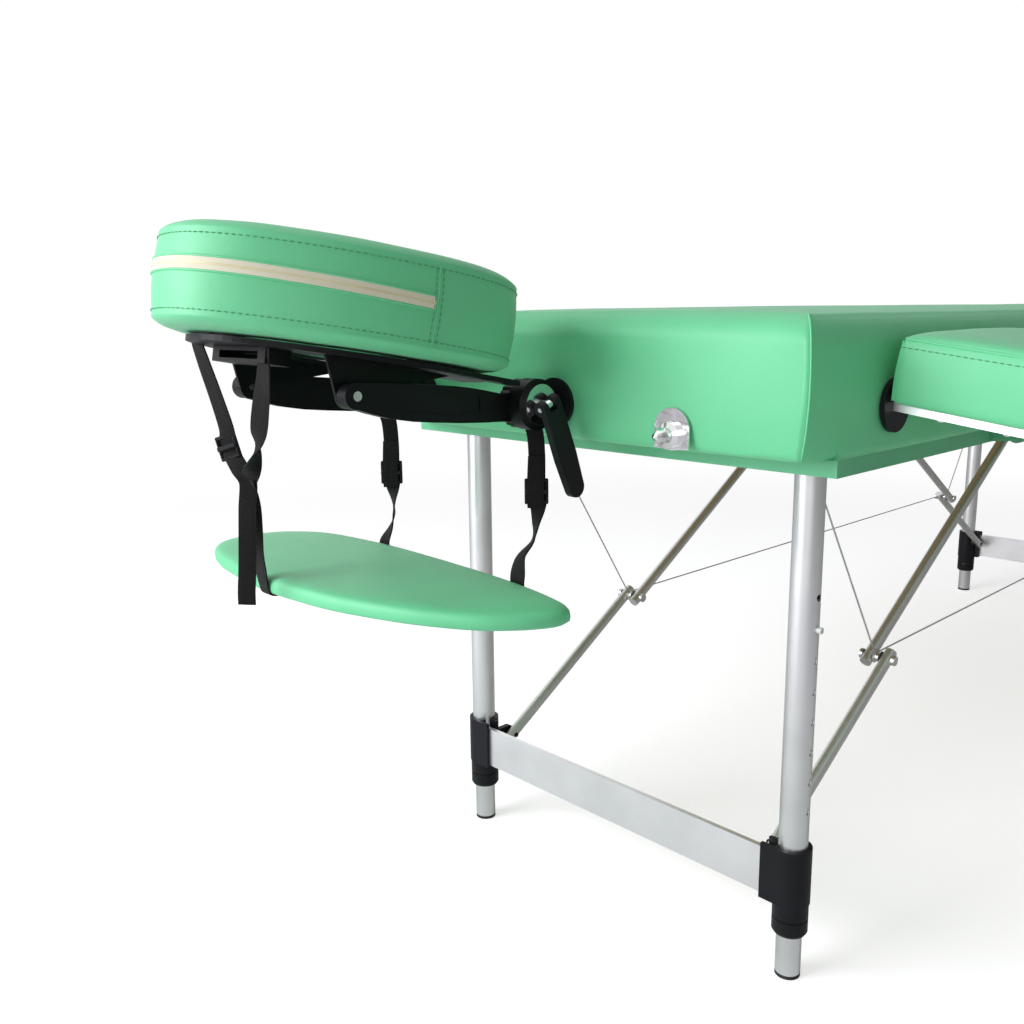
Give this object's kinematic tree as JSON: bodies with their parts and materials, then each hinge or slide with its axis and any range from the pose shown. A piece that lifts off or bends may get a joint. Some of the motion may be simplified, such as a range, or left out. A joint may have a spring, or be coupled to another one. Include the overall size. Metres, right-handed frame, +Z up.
{
  "type": "folding massage table",
  "caption": "Two-section folding massage table with telescopic legs, toggle braces, face cradle, hanging arm shelf and plug-in side armrests.",
  "frame": {"origin": "floor level below the middle of the overall length and width", "axes": "+Z up, -Y towards the head end with the face cradle, +X towards the side with the carrying handle"},
  "size_m": [1.0068, 2.1672, 0.7652],
  "materials": {
    "vinyl_green": "soft matt upholstery vinyl",
    "frame_green": "vinyl covered rail",
    "plywood": "birch plywood",
    "alloy": "satin anodised",
    "alloy_bar": "satin",
    "brace_alloy": "satin",
    "zinc_steel": "zinc plated",
    "chrome": "polished",
    "black_plastic": "moulded",
    "grey_plastic": "glass filled nylon",
    "black_steel": "powder coated",
    "white_plastic": "moulded",
    "rubber": "matt",
    "webbing": "ribbed polypropylene",
    "handle_green": "padded vinyl",
    "cable_steel": "stranded"
  },
  "bodies": {
    "head_top": {"head_frame": "frame_green", "head_deck": "plywood", "head_pad": "vinyl_green", "head_mounts": "zinc_steel", "cradle_sockets": "black_plastic", "side_sockets": "black_plastic", "latch_stud": "chrome", "head_handle": "handle_green", "fold_hinges": "zinc_steel", "right_cable": "cable_steel", "left_cable": "cable_steel"},
    "foot_top": {"foot_frame": "frame_green", "foot_deck": "plywood", "foot_pad": "vinyl_green", "foot_mounts": "zinc_steel", "fold_leaves": "zinc_steel", "foot_handle": "handle_green"},
    "hook": {"latch_hook": "chrome"},
    "hinge_pins": {"fold_pins": "zinc_steel"},
    "head_leg_frame": {"head_legs": "alloy", "head_crossbar": "alloy_bar", "head_joiners": "black_plastic"},
    "foot_leg_frame": {"foot_legs": "alloy", "foot_crossbar": "alloy_bar", "foot_joiners": "black_plastic"},
    "head_upper": {"head_upper_braces": "brace_alloy", "head_knees": "zinc_steel"},
    "head_lower": {"head_lower_braces": "brace_alloy"},
    "foot_upper": {"foot_upper_braces": "brace_alloy", "foot_knees": "zinc_steel"},
    "foot_lower": {"foot_lower_braces": "brace_alloy"},
    "right_armrest": {"right_armrest_pad": "vinyl_green", "right_armrest_bars": "alloy_bar"},
    "left_armrest": {"left_armrest_pad": "vinyl_green", "left_armrest_bars": "alloy_bar"},
    "cradle": {"cradle_pegs": "alloy", "cradle_hubs": "grey_plastic", "clamp_rod": "zinc_steel"},
    "arms": {"cradle_arms": "grey_plastic", "arm_rivets": "chrome"},
    "lever": {"clamp_lever": "black_plastic"},
    "head_rest": {"rest_brackets": "black_steel", "rest_plate": "grey_plastic", "rest_cushion": "vinyl_green"},
    "arm_shelf": {"shelf_board": "vinyl_green", "shelf_straps": "webbing", "shelf_buckles": "black_plastic"},
    "leg_hr": {"inner_leg_hr": "alloy", "foot_tip_hr": "rubber"},
    "snap_hr": {"button_hr": "white_plastic"},
    "leg_hl": {"inner_leg_hl": "alloy", "foot_tip_hl": "rubber"},
    "snap_hl": {"button_hl": "white_plastic"},
    "leg_fr": {"inner_leg_fr": "alloy", "foot_tip_fr": "rubber"},
    "snap_fr": {"button_fr": "white_plastic"},
    "leg_fl": {"inner_leg_fl": "alloy", "foot_tip_fl": "rubber"},
    "snap_fl": {"button_fl": "white_plastic"}
  },
  "joints": [
    {"name": "fold_first", "type": "hinge", "parent": "head_top", "child": "hinge_pins", "pos_m": [0, 0.18027, 0.536], "axis": [-1, 0, 0], "range_deg": [0, 90], "deforming": ["right_cable", "left_cable"]},
    {"name": "fold_second", "type": "hinge", "parent": "hinge_pins", "child": "foot_top", "pos_m": [0, 0.18027, 0.536], "axis": [-1, 0, 0], "range_deg": [0, 90], "deforming": ["right_cable", "left_cable"]},
    {"name": "head_leg_fold", "type": "hinge", "parent": "head_top", "child": "head_leg_frame", "pos_m": [0, -0.61873, 0.575], "axis": [1, 0, 0], "range_deg": [0, 90]},
    {"name": "head_upper_brace", "type": "hinge", "parent": "head_top", "child": "head_upper", "pos_m": [0, 0.12427, 0.575], "axis": [-1, 0, 0], "range_deg": [0, 32.73]},
    {"name": "head_lower_brace", "type": "hinge", "parent": "head_leg_frame", "child": "head_lower", "pos_m": [0, -0.59773, 0.125], "axis": [1, 0, 0], "range_deg": [0, 60.74]},
    {"name": "foot_leg_fold", "type": "hinge", "parent": "foot_top", "child": "foot_leg_frame", "pos_m": [0, 0.97927, 0.575], "axis": [-1, 0, 0], "range_deg": [0, 90]},
    {"name": "foot_upper_brace", "type": "hinge", "parent": "foot_top", "child": "foot_upper", "pos_m": [0, 0.23627, 0.575], "axis": [1, 0, 0], "range_deg": [0, 32.73]},
    {"name": "foot_lower_brace", "type": "hinge", "parent": "foot_leg_frame", "child": "foot_lower", "pos_m": [0, 0.95827, 0.125], "axis": [-1, 0, 0], "range_deg": [0, 60.74]},
    {"name": "leg_slide_hr", "type": "slide", "parent": "head_leg_frame", "child": "leg_hr", "axis": [0, 0, -1], "range_m": [0, 0.192], "deforming": ["button_hr"]},
    {"name": "snap_hr", "type": "slide", "parent": "leg_hr", "child": "snap_hr", "axis": [-1, 0, 0], "range_m": [0, 0.0065], "stiffness_N_per_m": 600, "springref_m": -0.004},
    {"name": "leg_slide_hl", "type": "slide", "parent": "head_leg_frame", "child": "leg_hl", "axis": [0, 0, -1], "range_m": [0, 0.192], "deforming": ["button_hl"]},
    {"name": "snap_hl", "type": "slide", "parent": "leg_hl", "child": "snap_hl", "axis": [1, 0, 0], "range_m": [0, 0.0065], "stiffness_N_per_m": 600, "springref_m": -0.004},
    {"name": "leg_slide_fr", "type": "slide", "parent": "foot_leg_frame", "child": "leg_fr", "axis": [0, 0, -1], "range_m": [0, 0.192], "deforming": ["button_fr"]},
    {"name": "snap_fr", "type": "slide", "parent": "leg_fr", "child": "snap_fr", "axis": [-1, 0, 0], "range_m": [0, 0.0065], "stiffness_N_per_m": 600, "springref_m": -0.004},
    {"name": "leg_slide_fl", "type": "slide", "parent": "foot_leg_frame", "child": "leg_fl", "axis": [0, 0, -1], "range_m": [0, 0.192], "deforming": ["button_fl"]},
    {"name": "snap_fl", "type": "slide", "parent": "leg_fl", "child": "snap_fl", "axis": [1, 0, 0], "range_m": [0, 0.0065], "stiffness_N_per_m": 600, "springref_m": -0.004},
    {"name": "cradle_slide", "type": "slide", "parent": "head_top", "child": "cradle", "axis": [0, -1, 0], "range_m": [0, 0.068]},
    {"name": "arm_tilt", "type": "hinge", "parent": "cradle", "child": "arms", "pos_m": [0, -0.75673, 0.595], "axis": [1, 0, 0], "range_deg": [-20, 40]},
    {"name": "rest_tilt", "type": "hinge", "parent": "arms", "child": "head_rest", "pos_m": [0, -0.96273, 0.616], "axis": [1, 0, 0], "range_deg": [0, 35], "deforming": ["shelf_straps"]},
    {"name": "clamp_lever", "type": "hinge", "parent": "cradle", "child": "lever", "pos_m": [0.0226, -0.75673, 0.595], "axis": [0, -0.9272, -0.3746], "range_deg": [0, 110]},
    {"name": "shelf_height", "type": "slide", "parent": "arms", "child": "arm_shelf", "axis": [0, 0, 1], "range_m": [-0.02, 0.05], "deforming": ["shelf_straps"]},
    {"name": "right_armrest_slide", "type": "slide", "parent": "head_top", "child": "right_armrest", "axis": [0.9903, 0, -0.1392], "range_m": [0, 0.082]},
    {"name": "left_armrest_slide", "type": "slide", "parent": "head_top", "child": "left_armrest", "axis": [-0.9903, 0, -0.1392], "range_m": [0, 0.082]},
    {"name": "hook_turn", "type": "hinge", "parent": "foot_top", "child": "hook", "pos_m": [0.15, 1.08027, 0.5726], "axis": [0, 1, 0], "range_deg": [0, 90]}
  ],
  "couplings": [
    {"joint": "head_leg_fold", "follows": "fold_first", "ratio": 1},
    {"joint": "head_upper_brace", "follows": "fold_first", "ratio": 0.36367},
    {"joint": "head_lower_brace", "follows": "fold_first", "ratio": 0.67492},
    {"joint": "foot_leg_fold", "follows": "fold_first", "ratio": 1},
    {"joint": "foot_upper_brace", "follows": "fold_first", "ratio": 0.36367},
    {"joint": "foot_lower_brace", "follows": "fold_first", "ratio": 0.67492}
  ]
}
